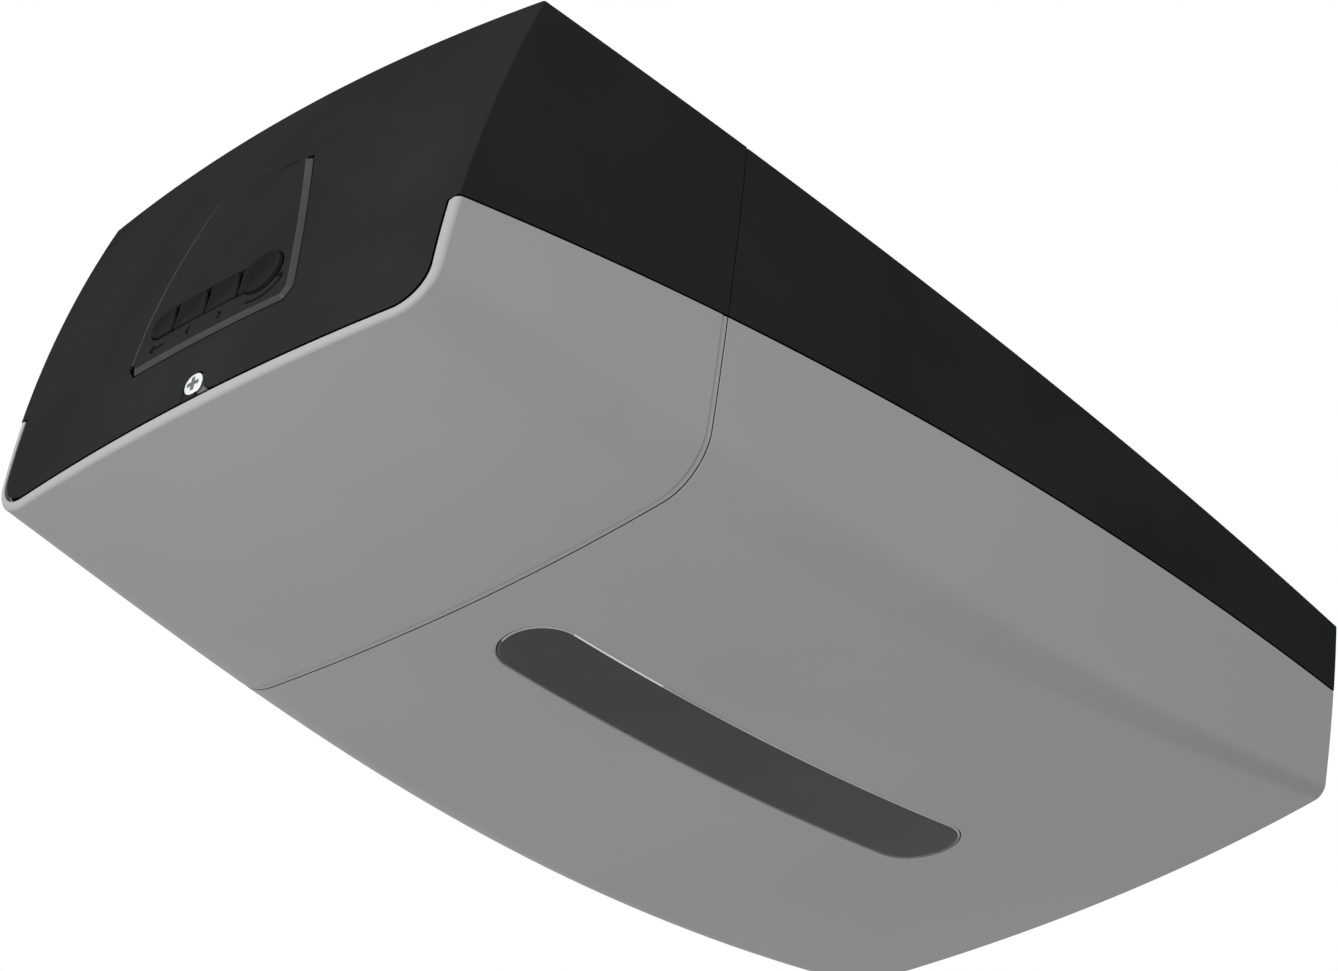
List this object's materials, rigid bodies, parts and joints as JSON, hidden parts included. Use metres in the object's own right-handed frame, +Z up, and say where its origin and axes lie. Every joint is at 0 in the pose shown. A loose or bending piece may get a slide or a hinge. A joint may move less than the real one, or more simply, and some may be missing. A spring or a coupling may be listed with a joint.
{
  "type": "garage door opener",
  "caption": "Ceiling-hung garage door motor unit with drop-off covers, key panel, light lens and a worm-geared rail drive on top.",
  "frame": {"origin": "on the raised rail seat, the highest flat of the steel chassis plate, 45 mm behind the output shaft", "axes": "+Z up towards the rail and ceiling, +Y from the control panel towards the rear, +X to the right of someone who faces the control panel"},
  "size_m": [0.2058, 0.4078, 0.1522],
  "materials": {
    "black_plastic": "satin moulded",
    "grey_plastic": "satin moulded",
    "smoke_lens": "polished smoke grey",
    "key_plastic": "fine matt",
    "steel_sheet": "zinc plated sheet",
    "bright_zinc": "bright zinc plated",
    "circuit_board": "solder mask",
    "component_plastic": "moulded",
    "iron_core": "lacquered laminations",
    "copper": "enamelled copper",
    "gear_casting": "die cast",
    "bronze": "sintered bronze",
    "white_nylon": "natural nylon",
    "soft_black": "matt"
  },
  "bodies": {
    "chassis": {"board_bracket": "steel_sheet", "brush_ring": "key_plastic", "cable_grommet": "soft_black", "capacitor": "component_plastic", "control_bezel": "black_plastic", "control_board": "circuit_board", "display_module": "component_plastic", "encoder_sensor": "key_plastic", "front_housing": "black_plastic", "fuse_holder": "component_plastic", "gearbox_cover": "gear_casting", "gearbox_housing": "gear_casting", "housing_screw_1": "bright_zinc", "housing_screw_2": "bright_zinc", "housing_screw_3": "bright_zinc", "housing_screw_4": "bright_zinc", "keypad_board": "circuit_board", "lamp_bracket": "steel_sheet", "led_1": "white_nylon", "led_2": "white_nylon", "led_3": "white_nylon", "light_board": "circuit_board", "magnet_1": "iron_core", "magnet_2": "iron_core", "motor_can": "steel_sheet", "motor_end_cap": "key_plastic", "output_bush_lower": "bronze", "output_bush_upper": "bronze", "rail_bracket_left": "steel_sheet", "rail_bracket_right": "steel_sheet", "rear_housing": "black_plastic", "relay_1": "component_plastic", "relay_2": "component_plastic", "tact_switch_1": "component_plastic", "tact_switch_2": "component_plastic", "tact_switch_3": "component_plastic", "tact_switch_4": "component_plastic", "terminal_control": "component_plastic", "terminal_mains": "component_plastic", "top_plate": "steel_sheet", "transformer_coil": "copper", "transformer_core": "iron_core", "transformer_strap": "steel_sheet", "worm_bearing": "bright_zinc"},
    "front_cover": {"front_cover": "grey_plastic", "cover_screw": "bright_zinc"},
    "rear_cover": {"rear_cover": "grey_plastic", "light_lens": "smoke_lens"},
    "button_back": {"button_back": "key_plastic"},
    "button_down": {"button_down": "key_plastic"},
    "button_up": {"button_up": "key_plastic"},
    "button_enter": {"button_enter": "key_plastic"},
    "motor": {"worm_shaft": "bright_zinc", "armature": "iron_core", "commutator": "copper", "encoder_disc": "key_plastic"},
    "output": {"output_shaft": "bright_zinc", "worm_wheel": "white_nylon", "drive_sprocket": "bright_zinc"}
  },
  "joints": [
    {"name": "front_cover_off", "type": "slide", "parent": "chassis", "child": "front_cover", "axis": [0, 0, -1], "range_m": [0, 0.12]},
    {"name": "rear_cover_off", "type": "slide", "parent": "chassis", "child": "rear_cover", "axis": [0, 0, -1], "range_m": [0, 0.12]},
    {"name": "back_press", "type": "slide", "parent": "chassis", "child": "button_back", "axis": [0, 0.9938, -0.1115], "range_m": [0, 0.0012], "stiffness_N_per_m": 900},
    {"name": "down_press", "type": "slide", "parent": "chassis", "child": "button_down", "axis": [0, 0.9938, -0.1115], "range_m": [0, 0.0012], "stiffness_N_per_m": 900},
    {"name": "up_press", "type": "slide", "parent": "chassis", "child": "button_up", "axis": [0, 0.9938, -0.1115], "range_m": [0, 0.0012], "stiffness_N_per_m": 900},
    {"name": "enter_press", "type": "slide", "parent": "chassis", "child": "button_enter", "axis": [0, 0.9938, -0.1115], "range_m": [0, 0.0012], "stiffness_N_per_m": 900},
    {"name": "motor_spin", "type": "hinge", "parent": "chassis", "child": "motor", "pos_m": [0.0295, 0, -0.033], "axis": [0, 1, 0], "continuous": true},
    {"name": "output_spin", "type": "hinge", "parent": "chassis", "child": "output", "pos_m": [0, -0.045, 0], "axis": [0, 0, 1], "continuous": true}
  ],
  "couplings": [
    {"joint": "output_spin", "follows": "motor_spin", "ratio": -0.033333}
  ]
}
